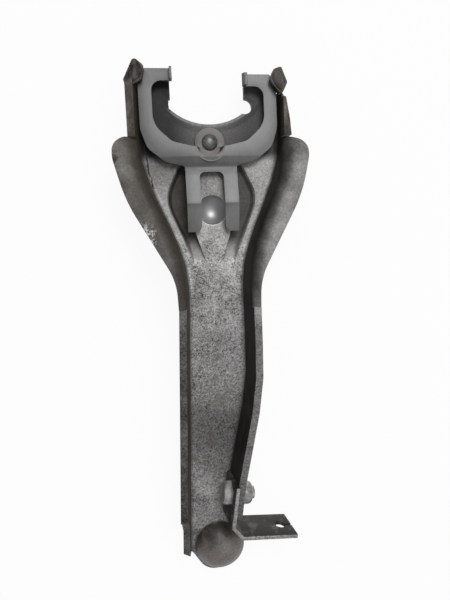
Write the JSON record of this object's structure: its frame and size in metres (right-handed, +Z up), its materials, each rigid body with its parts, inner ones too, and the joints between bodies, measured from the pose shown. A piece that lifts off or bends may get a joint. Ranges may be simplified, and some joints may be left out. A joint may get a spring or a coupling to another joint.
{
  "type": "clutch release fork",
  "caption": "Pressed steel clutch release fork: winged channel lever with a ball socket, a retainer spring at the yoke, a pushrod cup and a return spring bracket.",
  "frame": {"origin": "centre of the pivot ball in its socket", "axes": "+X across the fork towards the return spring bracket, +Y along the fork towards the yoke tips, +Z up out of the open side of the channel, with the fork lying on its socket bulge and lever end"},
  "size_m": [0.1212, 0.3387, 0.0358],
  "materials": {
    "pressed_steel": "worn, pitted and speckled with brown rust",
    "spring_steel": "smooth matt grey",
    "rivet_steel": "dull dark grey",
    "strip_steel": "dark brown with bare sheared edges",
    "fastener_steel": "dull grey"
  },
  "bodies": {
    "root": {"fork_body": "pressed_steel", "retainer_spring": "spring_steel", "spring_rivet": "rivet_steel", "return_spring_bracket": "strip_steel", "bracket_bolt": "fastener_steel", "bracket_nut": "fastener_steel"}
  },
  "joints": []
}
